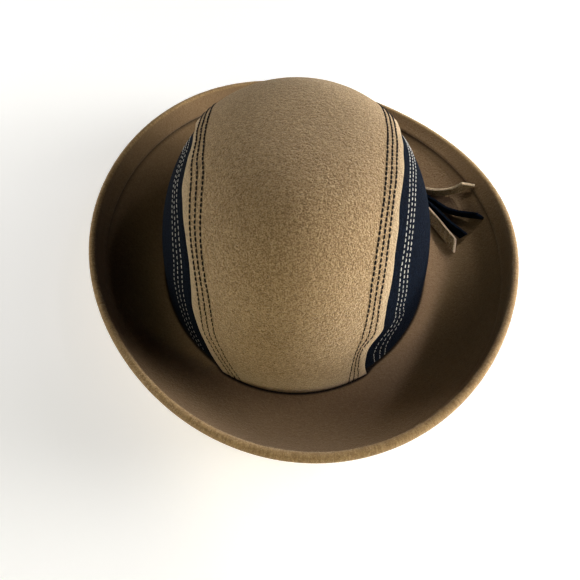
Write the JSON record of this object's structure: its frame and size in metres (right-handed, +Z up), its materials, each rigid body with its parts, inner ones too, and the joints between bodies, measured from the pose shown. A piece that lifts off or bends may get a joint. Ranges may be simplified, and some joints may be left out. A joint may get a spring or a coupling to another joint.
{
  "type": "felt hat with a turned-up brim",
  "caption": "Felt hat with a smooth round crown, dark side panels lapped under a tan centre panel, a brim turned up all round and a fan of felt strips at one side.",
  "frame": {"origin": "middle of the hat's outline, on the surface that the flat ring of the brim rests on", "axes": "+Z up through the crown, -Y the front of the hat and its camera side, +X the wearer's left, where the felt strips are"},
  "size_m": [0.2676, 0.3108, 0.1164],
  "materials": {
    "tan_felt": "camel tan wool felt, short fine nap, no shine",
    "black_felt": "blue-black wool felt, short fine nap, no shine",
    "dark_thread": "black spun sewing thread",
    "light_thread": "cream spun sewing thread"
  },
  "bodies": {
    "root": {"brim": "tan_felt", "crown_centre_panel": "tan_felt", "crown_side_left": "black_felt", "crown_side_right": "black_felt", "trim_strip_tan_upper": "tan_felt", "trim_strip_black_upper": "black_felt", "trim_strip_black_lower": "black_felt", "trim_strip_tan_lower": "tan_felt"}
  },
  "joints": []
}
